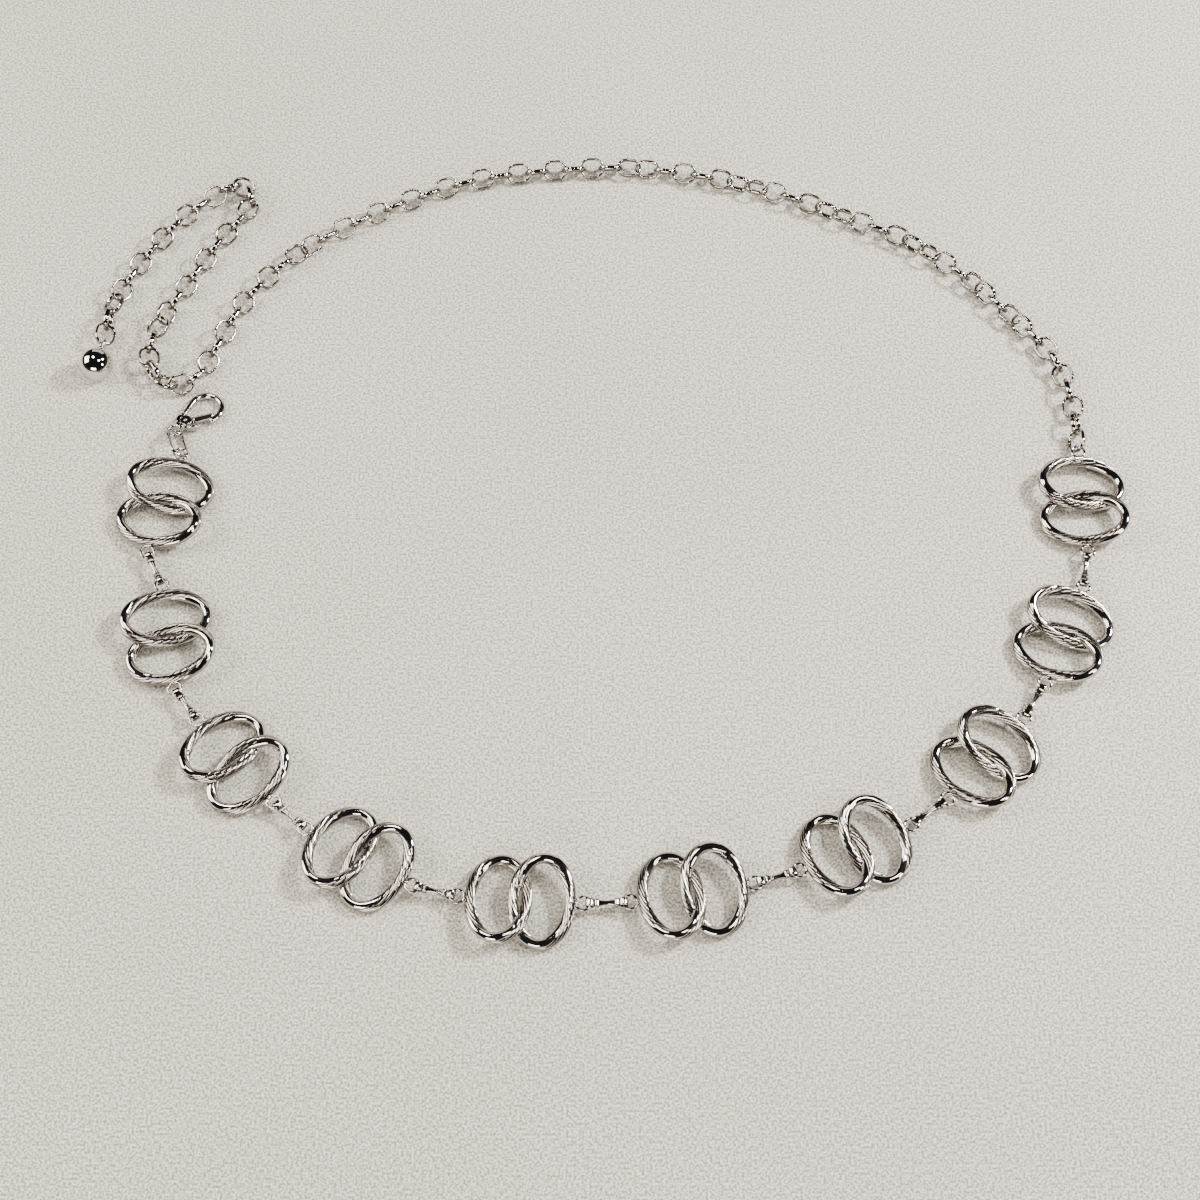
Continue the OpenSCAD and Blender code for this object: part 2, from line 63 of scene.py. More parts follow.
PIVOT_REACH, BARREL_WALL, SLOT_GAP, CHEEK_WALL, CLASP_GAP = 2.5, 0.65, 0.15, 0.6, 0.1
BALL_D, NECK_LEN, NECK_D, LOOP_D, LOOP_WIRE = 10.3, 1.6, 2.0, 4.4, 0.9

# ---- The chosen points of the plan ----

# Heading of each ornament, heading of the connector after it, and how far that one is pulled
ROW = [
    (-101.5, -64.5, -1), (-78.5, -53.5, -1), (-47, -40, -1), (-29, -14, 0.7), (-3.5, 2, 1),
    (9, 17, 1), (23, 36.5, 1), (46.5, 57.5, 0.9), (65.5, 77.5, -0.9), (89, 0, 0),
]
ROW_START = np.array([-124.9, 345.9])
WAIST_ROUTE = [
    (142.3, 366), (138, 381.5), (128, 395), (114, 411), (97.5, 424.5), (77, 434.7), (55, 444.3),
    (32, 450.8), (9, 454), (-14, 453.3), (-38, 449.7), (-60, 441.5), (-81, 430), (-97.5, 417.5),
    (-110, 402), (-117, 386),
]
TAIL_ROUTE = [
    (-121.5, 375.5), (-128.5, 370.8), (-135.5, 375), (-137.8, 384.5), (-134, 397), (-128, 409),
    (-120.5, 423.5), (-112, 436.5), (-111.5, 443.5), (-116.5, 446.6), (-124, 441.5),
    (-132.5, 433.5), (-140, 422.8), (-145.5, 413), (-149.8, 402.5), (-151.8, 393),
    (-151.9, 386.2),
]
# How far the chain has turned about its own route: link, degrees
TWIST = np.array([
    (0, -57), (1, 60), (2, 163), (3, 251), (5, 428), (7, 599), (13, 955), (23, 1673), (28, 2032),
    (30, 2212), (33, 2392), (47, 3652), (49, 3833), (52, 4015), (54, 4198), (58, 4560),
    (60, 4736), (61, 4820), (62, 4895), (63, 4965), (65, 5150), (68, 5339), (74, 5879), (78, 6177),
    (86, 6897), (87, 6987), (90, 7167),
], float)
# How much closer than taut the links lie: link, millimetres
SLACK = np.array([
    (0, 0), (3, 0.2), (4, 0.6), (12, 0.6), (14, 0.02), (35, 0.06), (59, 0), (61, 0.2),
    (78, 0.3), (90, 0.3),
], float)
ROUTE_STEPS, BEND_GIVE, LANDING_LINKS = 16, 2.1, 5

# ---- The plan ----


def toward(degrees):
    """The unit vector at a heading: its cosine and its sine."""
    a = math.radians(degrees)
    return np.array([math.cos(a), math.sin(a)])


def heading(v):
    """The heading of a vector in degrees, from its arc tangent."""
    return math.degrees(math.atan2(v[1], v[0]))


def turned(axis, degrees):
    """The matrix that turns a column vector about one axis by the right-hand rule."""
    c, s = math.cos(math.radians(degrees)), math.sin(math.radians(degrees))
    return {
        "x": np.array([[1, 0, 0], [0, c, -s], [0, s, c]]),
        "y": np.array([[c, 0, s], [0, 1, 0], [-s, 0, c]]),
        "z": np.array([[c, -s, 0], [s, c, 0], [0, 0, 1]]),
    }[axis]


def smooth_route(chosen):
    """A curve through the chosen points: between two of them each point is half of
    2b + (c - a)t + (2a - 5b + 4c - d)t^2 + (3b - a - 3c + d)t^3, with a and d the points before
    and after the two."""
    p = np.vstack([chosen[:1], chosen, chosen[-1:]])
    a, b, c, d = (p[k:len(p) - 3 + k, None] for k in range(4))
    t = (np.arange(ROUTE_STEPS) / ROUTE_STEPS)[None, :, None]
    q = 0.5 * (2 * b + (c - a) * t + (2 * a - 5 * b + 4 * c - d) * t**2
               + (3 * b - a - 3 * c + d) * t**3)
    return np.vstack([q.reshape(-1, 2), chosen[-1:]])


def hang_links(path):
    """Each link's centre lies on the path at its pitch from the last: the link's length less two
    wires and the play, less the slack there, less a share of one minus the cosine of the bend."""
    pitch = LINK_LEN - 2 * LINK_WIRE - LINK_PLAY
    centres, places, p, i = [path[0]], [1], path[0], 1
    while True:
        far = np.linalg.norm(path - p, axis=1)
        ahead = [k for k in range(i, len(path)) if far[k] >= pitch]
        j = min(len(path) - 1, ahead[0] if ahead else len(path))
        before = max(0, i - 1)
        bend = heading(path[j] - path[j - 1]) - heading(path[before + 1] - path[before])
        step = (pitch - np.interp(len(centres) - 1, *SLACK.T)
                - BEND_GIVE * (1 - math.cos(math.radians(bend))))
        ahead = [k for k in range(i, len(path)) if far[k] >= step]
        if not ahead:
            return np.array(centres), places
        i = ahead[0]
        a, u = path[i - 1] - p, path[i] - path[i - 1]
        qa, qb, qc = u @ u, 2 * (a @ u), a @ a - step * step
        p = path[i - 1] + (-qb + math.sqrt(qb * qb - 4 * qa * qc)) / (2 * qa) * u
        centres.append(p)
        places.append(i)


ring_narrow, ring_shift = RING_WIRE - 2 * VALLEY_DEPTH, RING_WID - RING_OVERLAP
ring_a, ring_b = (RING_LEN - ring_narrow) / 2, (RING_WID - ring_narrow) / 2
pair_len = ring_shift + RING_WID
eyelet_r = (EYELET_D - EYELET_WIRE) / 2
orn_len = pair_len + EYELET_D - 2 * EYELET_SINK
orn_z = ring_a * math.sin(math.radians(RING_TILT)) + RING_WIRE / 2
wall_in = math.sqrt((eyelet_r - EYELET_WIRE / 2 - KNUCKLE_GAP)**2 - (KNUCKLE_W / 2)**2)
wall_out = EYELET_D / 2 + KNUCKLE_GAP
knuckle_seat = (wall_out + wall_in) / 2
knuckle_bore = wall_out - wall_in + 2 * KNUCKLE_PLAY
knuckle_d = knuckle_bore + 2 * KNUCKLE_WALL

ornament_ends, p = [], ROW_START
for own, after, pull in ROW:
    ornament_ends.append((p, p + orn_len * toward(own)))
    p = ornament_ends[-1][1] + (CON_LEN + 2 * (knuckle_seat + KNUCKLE_PLAY * pull)) * toward(after)

link_end, link_r = (LINK_LEN - LINK_WIRE) / 2, (LINK_WID - LINK_WIRE) / 2
eyelet_seat = EYELET_D / 2 - EYELET_WIRE - LINK_WIRE / 2 - EYELET_CLEAR
row_end = ornament_ends[-1][1]
start_heading = heading(np.array(WAIST_ROUTE[0]) - row_end)
chain_start = row_end + (eyelet_seat + link_end) * toward(start_heading)
route = np.array([tuple(chain_start)] + WAIST_ROUTE + TAIL_ROUTE, float)
link_at, link_place = hang_links(smooth_route(route))
link_count = len(link_at)
tail_first = sum(k < len(WAIST_ROUTE) * ROUTE_STEPS for k in link_place)
near = np.clip(np.arange(-1, link_count + 1), 0, link_count - 1)
along = link_at[near[2:]] - link_at[near[:-2]]
link_heading = np.degrees(np.arctan2(along[:, 1], along[:, 0]))
link_roll = np.interp(np.arange(link_count), *TWIST.T)

link_rim = LINK_WIRE - 2 * (LINK_DOME - math.sqrt(LINK_DOME**2 - LINK_BAND**2 / 4))
lean, level = np.abs(np.sin(np.radians(link_roll))), np.abs(np.cos(np.radians(link_roll)))
band_drop = np.where(level > LINK_BAND / 2 / LINK_DOME, lean * link_rim / 2 + level * LINK_BAND / 2,
                     LINK_DOME - (LINK_DOME - LINK_WIRE / 2) * lean)
half_height = link_r * lean + band_drop


def high_near(k):
    """The greatest half height among the five links about the one k places on."""
    n = np.arange(link_count) + k
    m = np.clip(n[:, None] + np.arange(-2, 3), 0, link_count - 1)
    return half_height[m].max(axis=1)


rest_z = (high_near(-1) + high_near(0) + high_near(1)) / 3
link_z = rest_z + (orn_z - rest_z[0]) * np.maximum(0, 1 - np.arange(link_count) / LANDING_LINKS)

oval_reach = OVAL_LEN - OVAL_WIRE - 2 * OVAL_SEAT
oval_pitch = math.degrees(math.asin((orn_z - CLASP_EYE_Z) / oval_reach))
oval_flat = oval_reach * math.cos(math.radians(oval_pitch))
clasp_eye = ROW_START + oval_flat * toward(OVAL_HEADING)
clasp_eye_r = (CLASP_EYE_D - CLASP_EYE_WIRE) / 2
hook_r = (HOOK_D - HOOK_WIRE) / 2
clasp_pitch = math.degrees(math.asin((CLASP_EYE_Z - HOOK_WIRE / 2) / (HOOK_REACH + hook_r)))

end_heading = link_heading[-1]
end_wire = link_at[-1] + link_end * toward(end_heading)
loop_r = (LOOP_D - LOOP_WIRE) / 2
loop_z = link_z[-1]
loop_at = end_wire + (loop_r - LOOP_WIRE / 2 - LINK_WIRE / 2 - LINK_PLAY) * toward(end_heading)
loop_reach = BALL_D / 2 + NECK_LEN + loop_r
loop_drop = BALL_D / 2 - loop_z
ball_at = loop_at + math.sqrt(loop_reach**2 - loop_drop**2) * toward(end_heading)


def outline_side(ax, s):
    """The furthest reach of the whole plan along one axis: of every ring, link and the ball."""
    reach = [s * (ball_at[ax] + s * BALL_D / 2)]
    reach += [s * (c[ax] + s * LINK_LEN / 2) for c in link_at]
    for (a, b), (own, _, _) in zip(ornament_ends, ROW):
        h = math.radians(own + ax * 90)
        flat_a = ring_a * math.cos(math.radians(RING_TILT))
        span = math.hypot(ring_b * math.cos(h), flat_a * math.sin(h)) + ring_narrow / 2
        for k in (-1, 1):
            reach.append(s * (((a + b) / 2 + k * ring_shift / 2 * toward(own))[ax] + s * span))
    return s * max(reach)


middle = np.array([(outline_side(ax, -1) + outline_side(ax, 1)) / 2 for ax in (0, 1)])


def spot(p, z):
    """A point of the plan at a height, measured from the middle of the laid outline."""
    return np.array([p[0] - middle[0], p[1] - middle[1], z])


# ---- Skins ----


def skin(grid, wrap, painted_shade=None):
    """A closed skin over a grid of points, rows by columns. The columns close on themselves. The
    rows do too if wrap is true, and otherwise each end is closed to its own middle. The faces are
    turned so that the volume, the sum of a . (b x c) / 6, is positive."""
    rows, cols = grid.shape[:2]
    points = grid.reshape(-1, 3)
    shade_amount = np.broadcast_to(0.0 if painted_shade is None else painted_shade, (rows, cols)).ravel()
    i = np.arange(rows if wrap else rows - 1)[:, None]
    j = np.arange(cols)[None, :]
    i2, j2 = (i + 1) % rows, (j + 1) % cols
    quads = np.stack([i * cols + j, i2 * cols + j, i2 * cols + j2, i * cols + j2], -1)
    quads = quads.reshape(-1, 4)
    tris = np.zeros((0, 3), int)
    if not wrap:
        n, k = rows * cols, np.arange(cols)
        k2 = (k + 1) % cols
        points = np.vstack([points, grid[0].mean(axis=0), grid[-1].mean(axis=0)])
        shade_amount = np.r_[shade_amount, 0, 0]
        last = (rows - 1) * cols
        tris = np.vstack([np.stack([k, k2, np.full(cols, n)], -1),
                          np.stack([last + k2, last + k, np.full(cols, n + 1)], -1)])
    corner = points[np.vstack([quads[:, :3], quads[:, [0, 2, 3]], tris])]
    volume = np.einsum("ij,ij->", corner[:, 0], np.cross(corner[:, 1], corner[:, 2]))
    if volume < 0:
        quads, tris = quads[:, ::-1], tris[:, ::-1]
    return points, quads, tris, shade_amount


def together(*skins):
    """Several skins as one: their arrays end to end, with the faces' numbers moved along."""
    starts = np.cumsum([0] + [len(s[0]) for s in skins])
    return (np.vstack([s[0] for s in skins]),
            np.vstack([s[1] + n for s, n in zip(skins, starts)]),
            np.vstack([s[2] + n for s, n in zip(skins, starts)]),
            np.concatenate([s[3] for s in skins]))


def placed(shape, turn, place):
    """A skin turned by a matrix and then moved."""
    return (shape[0] @ np.asarray(turn).T + place,) + shape[1:]


def swept(path, up, wide, high, sides=16, closed=False, power=2.0, painted_shade=None, section=None):
    """A rod along a path. Across it at each point lie cos(q) to the side and sin(q) upward, each
    to the power 2 / power with its sign kept, times half the width and half the height there. A
    section of its own takes their place where one is given."""
    path = np.asarray(path, float)
    if closed:
        step = np.roll(path, -1, 0) - np.roll(path, 1, 0)
    else:
        step = np.gradient(path, axis=0)
    step = step / np.linalg.norm(step, axis=1)[:, None]
    side = np.cross(step, up)
    side = side / np.linalg.norm(side, axis=1)[:, None]
    top = np.cross(side, step)
    q = np.linspace(0, 2 * np.pi, sides, endpoint=False)
    c = np.sign(np.cos(q)) * np.abs(np.cos(q)) ** (2 / power)
    s = np.sign(np.sin(q)) * np.abs(np.sin(q)) ** (2 / power)
    if section is not None:
        c, s = section.T
    wide = np.broadcast_to(wide, len(path))[:, None, None] / 2
    high = np.broadcast_to(high, len(path))[:, None, None] / 2
    grid = (path[:, None] + wide * c[None, :, None] * side[:, None]
            + high * s[None, :, None] * top[:, None])
    return skin(grid, closed, None if painted_shade is None else np.asarray(painted_shade)[:, None])


def turned_on_axis(profile, sides):
    """A lathe's shape: each point of the profile, distance along X and radius, carried round X."""
    q = np.linspace(0, 2 * np.pi, sides, endpoint=False)
    x, r = np.asarray(profile, float).T
    grid = np.stack([
        np.repeat(x[:, None], sides, 1),
        r[:, None] * np.cos(q),
        r[:, None] * np.sin(q)], -1)
    return skin(grid, wrap=False)


def plate(outline, levels):
    """A plate with rounded edges: the closed outline, drawn in along its own normals by each
    level's inset and lifted to its height. Both ends close to the middle."""
    outline = np.asarray(outline, float)
    step = np.roll(outline, -1, 0) - np.roll(outline, 1, 0)
    step = step / np.linalg.norm(step, axis=1)[:, None]
    inward = np.stack([-step[:, 1], step[:, 0]], -1)
    ahead = np.roll(outline, -1, 0)
    area = np.sum(outline[:, 0] * ahead[:, 1] - ahead[:, 0] * outline[:, 1])
    inward = inward * np.sign(area)
    inset, height = np.asarray(levels, float).T
    flat = outline[None] + inset[:, None, None] * inward[None]
    grid = np.concatenate([flat, np.broadcast_to(height[:, None, None], flat.shape[:2] + (1,))], -1)
    return skin(grid, wrap=False)


def rounded(thick, edge, steps=5):
    """Levels of a plate of a thickness whose edge is a quarter round at the top and the bottom."""
    q = np.linspace(0, np.pi / 2, steps)
    lift = np.r_[-thick / 2 + edge * (1 - np.cos(q)), thick / 2 - edge * (1 - np.cos(q[::-1]))]
    inset = np.r_[edge * (1 - np.sin(q)), edge * (1 - np.sin(q[::-1]))]
    first = [(inset[0] + edge, -thick / 2)]
    return first + list(zip(inset, lift)) + [(inset[0] + edge, thick / 2)]


def soft_outline(corners, steps=8):
    """A closed curve through chosen corners, by the same cubic as the chain's route."""
    p = np.asarray(corners, float)
    a, b, c, d = (np.roll(p, 1 - k, 0)[:, None] for k in range(4))
    t = (np.arange(steps) / steps)[None, :, None]
    q = 0.5 * (2 * b + (c - a) * t + (2 * a - 5 * b + 4 * c - d) * t**2
               + (3 * b - a - 3 * c + d) * t**3)
    return q.reshape(-1, 2)


# ---- Materials ----

# The dark brown of the painted shade in grooves, creases and on faces turned sideways or down
PAINTED_SHADE_BROWN = (0.11, 0.084, 0.064, 1)
BROAD_TIMES, MARK_TIMES, MARK_DEPTH = 0.35, 9, 0.0012
GROOVE_WEAR, LEAST_WEAR, MOST_WEAR, CLOUDING = 0.75, 0.35, 1.3, 0.12


def noise(nodes, wire, where, scale, detail=2.0):
    """Soft noise over the object's own coordinates, at so many patches to the metre."""
    node = nodes.new("ShaderNodeTexNoise")
    node.inputs["Scale"].default_value = scale
    node.inputs["Detail"].default_value = detail
    wire(where, node.inputs["Vector"])
    return node


def relief(nodes, wire, height, distance, strength=1.0):
    """Fine relief: the surface's normal leans as a height, in metres, rises and falls."""
    node = nodes.new("ShaderNodeBump")
    node.inputs["Strength"].default_value = strength
    node.inputs["Distance"].default_value = distance
    wire(height, node.inputs["Height"])
    return node


def blended(nodes, kind, share):
    """A mix of two colours of a kind, by a share."""
    node = nodes.new("ShaderNodeMix")
    node.data_type = "RGBA"
    node.blend_type = kind
    node.inputs["Factor"].default_value = share
    return node


def polished(name, colour, smooth, dull, ripple, grain):
    """Bright plated metal. Broad noise moves the roughness between smooth and dull, finer noise
    gives the surface the slight unevenness of a polished casting, fine marks run over both, and
    grooves and faces turned down get a painted brown shade and are duller."""
    m = bpy.data.materials.new(name)
    m.use_nodes = True
    nodes, wire = m.node_tree.nodes, m.node_tree.links.new
    shader = nodes["Principled BSDF"]
    shader.inputs["Metallic"].default_value = 1.0
    where = nodes.new("ShaderNodeTexCoord").outputs["Object"]

    broad = noise(nodes, wire, where, grain * BROAD_TIMES, detail=4.0)
    painted_shade = nodes.new("ShaderNodeAttribute")
    painted_shade.attribute_name = "painted_shade"
    wear = nodes.new("ShaderNodeMath")
    wear.operation = "MULTIPLY_ADD"
    wear.inputs[1].default_value = GROOVE_WEAR
    wire(painted_shade.outputs["Fac"], wear.inputs[0])
    wire(broad.outputs["Fac"], wear.inputs[2])
    rough = nodes.new("ShaderNodeMapRange")
    for socket, value in (("From Min", LEAST_WEAR), ("From Max", MOST_WEAR),
                          ("To Min", smooth), ("To Max", dull)):
        rough.inputs[socket].default_value = value
    wire(wear.outputs[0], rough.inputs["Value"])
    wire(rough.outputs[0], shader.inputs["Roughness"])

    # Painted shade: the metal's colour is mixed toward a dark brown by the painted shade attribute
    shade = blended(nodes, "MIX", 0.5)
    shade.inputs["A"].default_value = (*colour, 1)
    shade.inputs["B"].default_value = PAINTED_SHADE_BROWN
    wire(painted_shade.outputs["Fac"], shade.inputs["Factor"])
    tint = blended(nodes, "MULTIPLY", CLOUDING)
    wire(shade.outputs["Result"], tint.inputs["A"])
    wire(broad.outputs["Color"], tint.inputs["B"])
    wire(tint.outputs["Result"], shader.inputs["Base Color"])

    fine = noise(nodes, wire, where, grain)
    marks = noise(nodes, wire, where, grain * MARK_TIMES, detail=3.0)
    uneven = relief(nodes, wire, fine.outputs["Fac"], ripple * METRE)
    scuffed = relief(nodes, wire, marks.outputs["Fac"], MARK_DEPTH * METRE)
    wire(uneven.outputs[0], scuffed.inputs["Normal"])
    wire(scuffed.outputs[0], shader.inputs["Normal"])
    return m


# Name, colour, smoothest and dullest roughness, ripple in millimetres, patches to the metre
ornament_metal = polished("ornament_metal", (0.78, 0.755, 0.73), 0.05, 0.18, 0.022, 620)
connector_metal = polished("connector_metal", (0.70, 0.675, 0.65), 0.06, 0.18, 0.025, 900)
chain_metal = polished("chain_metal", (0.76, 0.735, 0.71), 0.06, 0.16, 0.015, 700)
clasp_metal = polished("clasp_metal", (0.84, 0.82, 0.80), 0.09, 0.20, 0.02, 420)
ball_metal = polished("ball_metal", (0.84, 0.81, 0.78), 0.03, 0.10, 0.02, 260)

LEAN_FROM, LEAN_POWER = 0.8, 1.2


def make(name, shape, material, body, slot, *nodes, side_shade=0.95):
    """Puts a skin, in millimetres, into a mesh in metres that stands for the named nodes. Where a
    point faces sideways or down it gets painted shade and is duller: by a share of what its
    normal's height lacks of 0.8, to the power 1.2."""
    points, quads, tris, shade_amount = shape
    mesh = bpy.data.meshes.new(name)
    mesh.from_pydata(points * METRE, [], quads.tolist() + tris.tolist())
    normal = np.zeros(3 * len(points), np.float32)
    mesh.vertices.foreach_get("normal", normal)
    # Painted shade on faces that turn sideways or down, stronger as the normal's height falls below
    # 0.8
    leaning = np.clip(LEAN_FROM - normal[2::3], 0, 1) ** LEAN_POWER
    shade_amount = np.clip(np.maximum(shade_amount, side_shade * leaning), 0, 1).astype(np.float32)
    mesh.attributes.new("painted_shade", "FLOAT", "POINT").data.foreach_set("value", shade_amount)
    mesh.materials.append(material)
    mesh.shade_smooth()
    piece = bpy.data.objects.new(name, mesh)
    bpy.context.scene.collection.objects.link(piece)
    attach(piece, body)
    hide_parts(*nodes)

# ---- Ornaments ----

RING_STATIONS, REEDS, REED_POINTS, SMOOTH_POINTS, REED_REACH = 224, 7, 7, 19, 106
# Depth of the reeds' grooves, and the strength of the painted shade in them
REED_DEPTH, REED_SHADE = 0.26, 1.8
SOLDER_SIZE, SOLDER_OUT = (0.62, 0.72, 0.58), 0.05


def rope_section():
    """Angle, radius and painted shade of the points round the twisted tube. The angle starts at the
    middle of the reeded strand. Seven fine reeds lie on it, each the sine of its place between
    two grooves to the power 0.6, and the rest is one smooth strand. The valleys between the two
    strands take the square of the sine of the angle off the radius, and the grooves between the
    reeds get painted shade."""
    half = np.linspace(-REED_REACH, REED_REACH, REEDS * REED_POINTS + 1)
    rest = np.linspace(REED_REACH, 360 - REED_REACH, SMOOTH_POINTS + 1)[1:-1]
    place = np.linspace(0, REEDS, REEDS * REED_POINTS + 1)
    crown = np.abs(np.sin(np.pi * place)) ** 0.6
    q = np.radians(np.r_[half, rest])
    groove = np.r_[1 - crown, 0 * rest]
    drop = VALLEY_DEPTH * np.sin(q) ** 2 + REED_DEPTH * groove
    return q, RING_WIRE / 2 - drop, np.clip(REED_SHADE * groove, 0, 1)


def twisted_ring():
    """A rope-like tube round an oval: the centre is (b cos t, a sin t), the section turns by two
    whole turns in step with the length of tube, and each point lies at its radius along cos q of
    the oval's outward normal and sin q of the height. The reeds lie on top at both sides."""
    t = np.linspace(0, 2 * np.pi, RING_STATIONS, endpoint=False)
    centre = np.stack([ring_b * np.cos(t), ring_a * np.sin(t), 0 * t], -1)
    steps = np.linalg.norm(np.roll(centre, -1, 0) - centre, axis=1)
    run = (np.cumsum(steps) - steps) / steps.sum()
    out = np.stack([ring_a * np.cos(t), ring_b * np.sin(t), 0 * t], -1)
    out = out / np.linalg.norm(out, axis=1)[:, None]
    q, radius, shade_amount = rope_section()
    angle = q[None] + math.radians(RING_START + 180) + 2 * np.pi * FLUTE_TURNS * run[:, None]
    grid = (centre[:, None] + (radius * np.cos(angle))[..., None] * out[:, None]
            + (radius * np.sin(angle))[..., None] * UP)
    return skin(grid, wrap=True, painted_shade=shade_amount[None])


def wire_ring(r, wire, sides=14, stations=56):
    """A plain round ring of wire lying flat: a circle swept round a circle."""
    t = np.linspace(0, 2 * np.pi, stations, endpoint=False)
    path = np.stack([r * np.cos(t), r * np.sin(t), 0 * t], -1)
    return swept(path, UP, wire, wire, sides, closed=True)


def bead(size, centre, sides=20):
    """A smooth blob of solder: a ball with its own half sizes, by rows of latitude."""
    lat = np.linspace(-np.pi / 2, np.pi / 2, sides // 2 + 2)[1:-1]
    lon = np.linspace(0, 2 * np.pi, sides, endpoint=False)
    grid = np.stack([
        np.sin(lat)[:, None] + 0 * lon,
        np.cos(lat)[:, None] * np.cos(lon),
        np.cos(lat)[:, None] * np.sin(lon)], -1)
    return skin(grid * np.asarray(size) + centre, wrap=False)


def ornament_shape():
    """Two twisted rings, each tilted through the other, with an eyelet soldered on at each end."""
    ring = twisted_ring()
    parts = [placed(ring, turned("x", s * RING_TILT), (s * ring_shift / 2, 0, 0)) for s in (-1, 1)]
    for s in (-1, 1):
        parts.append(placed(wire_ring(eyelet_r, EYELET_WIRE), np.eye(3), (s * orn_len / 2, 0, 0)))
        parts.append(bead(SOLDER_SIZE, (s * (pair_len / 2 + SOLDER_OUT), 0, 0)))
    return together(*parts)


ornament = ornament_shape()
for n, ((a, b), (own, _, _)) in enumerate(zip(ornament_ends, ROW), 1):
    make(f"ornament_{n:02d}_polished", placed(ornament, turned("z", own), spot((a + b) / 2, orn_z)),
         ornament_metal, "chain", "ornament_metal", f"ornament_{n:02d}")

# ---- Connectors ----

KNUCKLE_SQUARE, BAR_SQUARE, BAR_WAIST = 3.2, 5, 0.05
BAR_UNDERCUT, STRIP_UNDER_BAR, PINCH_SHARE, PINCH_POWER = 0.15, 0.25, 0.14, 1.8
# Depth and width of the fold, and the strength and width of the painted shade along it
FOLD_DEPTH, FOLD_WIDE, FOLD_SHADE, FOLD_SHADE_WIDE = 0.22, 0.2, 0.6, 0.16
# Bands of painted shade across each end: place as a share of the bar's diameter, width
SHADED_BANDS = [(0.45, 0.17), (0.05, 0.13), (-0.36, 0.2)]


def rolled_knuckle(x):
    """A rolled knuckle about the eyelet's wire: a rounded wall swept round a circle about Y."""
    t = np.linspace(0, 2 * np.pi, 40, endpoint=False)
    r = (knuckle_bore + KNUCKLE_WALL) / 2
    path = np.stack([x + r * np.cos(t), 0 * t, r * np.sin(t)], -1)
    return swept(path, ACROSS, KNUCKLE_WALL, KNUCKLE_W, 20, closed=True, power=KNUCKLE_SQUARE)


def shoulder_bar(x):
    """The raised bar across a shoulder: a lathe's shape about Y. Its radius falls off to the ends
    by the fifth power of the place along it, and it is a little thinner in the middle."""
    y = np.sin(np.linspace(-np.pi / 2, np.pi / 2, 25)[1:-1]) * SHOULDER_W / 2
    crown = (1 - np.abs(y / (SHOULDER_W / 2)) ** BAR_SQUARE) ** 0.4
    r = BAR_D / 2 * crown * (1 - BAR_WAIST * np.cos(np.pi * y / SHOULDER_W))
    bar = turned_on_axis(np.stack([y, r], -1), 32)
    return placed(bar, turned("z", 90), (x, 0, 0))


def folded_strip(reach):
    """The strip between the shoulders: its half width grows with the place along it, to the power
    1.8, from the pinched waist to the shoulder, and its half height grows with the square. Its
    section is a soft oval, and a shallow fold runs along the middle of both faces, with painted
    shade along the fold."""
    x = np.linspace(-reach, reach, 41)
    e = np.abs(x / reach)
    half_w = (PINCH_W + (SHOULDER_W - BAR_UNDERCUT - PINCH_W) * e**PINCH_POWER) / 2
    half_h = STRIP_T / 2 * (1 - PINCH_SHARE + PINCH_SHARE * e**2)
    q = np.linspace(0, 2 * np.pi, 44, endpoint=False)
    c = np.sign(np.cos(q)) * np.abs(np.cos(q)) ** 0.9
    s = np.sign(np.sin(q)) * np.abs(np.sin(q)) ** 0.9
    fold = 1 - FOLD_DEPTH * np.exp(-(c / FOLD_WIDE) ** 2)
    grid = np.stack([
        np.repeat(x[:, None], len(q), 1),
        half_w[:, None] * c,
        half_h[:, None] * s * fold], -1)
    shade_amount = np.broadcast_to(np.exp(-(c / FOLD_SHADE_WIDE) ** 2) * FOLD_SHADE, grid.shape[:2])
    return skin(grid, wrap=False, painted_shade=shade_amount)


def connector_shape():
    """The folded strip, a bar on each of its shoulders and a rolled knuckle beside each bar. Three
    bands across each end, at the bar and where it meets the knuckle and the strip, get painted
    shade, by a bell curve of the distance from each of them."""
    shoulder_x = CON_LEN / 2 - (knuckle_d + BAR_D) / 2 + BAR_SINK
    parts = [folded_strip(shoulder_x + STRIP_UNDER_BAR)]
    for s in (-1, 1):
        parts += [rolled_knuckle(s * CON_LEN / 2), shoulder_bar(s * shoulder_x)]
    points, quads, tris, shade_amount = together(*parts)
    # Painted shade in three bands across each end
    for share, width in SHADED_BANDS:
        off = np.abs(points[:, 0]) - (shoulder_x + share * BAR_D)
        shade_amount = np.maximum(shade_amount, np.exp(-(off / width) ** 2))
    return points, quads, tris, shade_amount


connector = connector_shape()
for n in range(1, len(ROW)):
    gap_from, gap_to = ornament_ends[n - 1][1], ornament_ends[n][0]
    make(f"connector_{n:02d}_polished",
         placed(connector, turned("z", ROW[n - 1][1]), spot((gap_from + gap_to) / 2, orn_z)),
         connector_metal, "chain", "connector_metal", f"connector_{n:02d}", side_shade=1.6)

# ---- Cable chain ----

BEND_STEPS, SIDE_STEPS = 18, 9
SEAM_PLACES = np.array([0.75, 0.3, 0.09, 0.035, 0, -0.035, -0.09, -0.3, -0.75])
# How much thinner and narrower the wire is at its seam, and the strength of the painted shade there
SEAM_DEPTH, SEAM_NARROW, SEAM_SHADE = 0.1, 0.05, 0.8


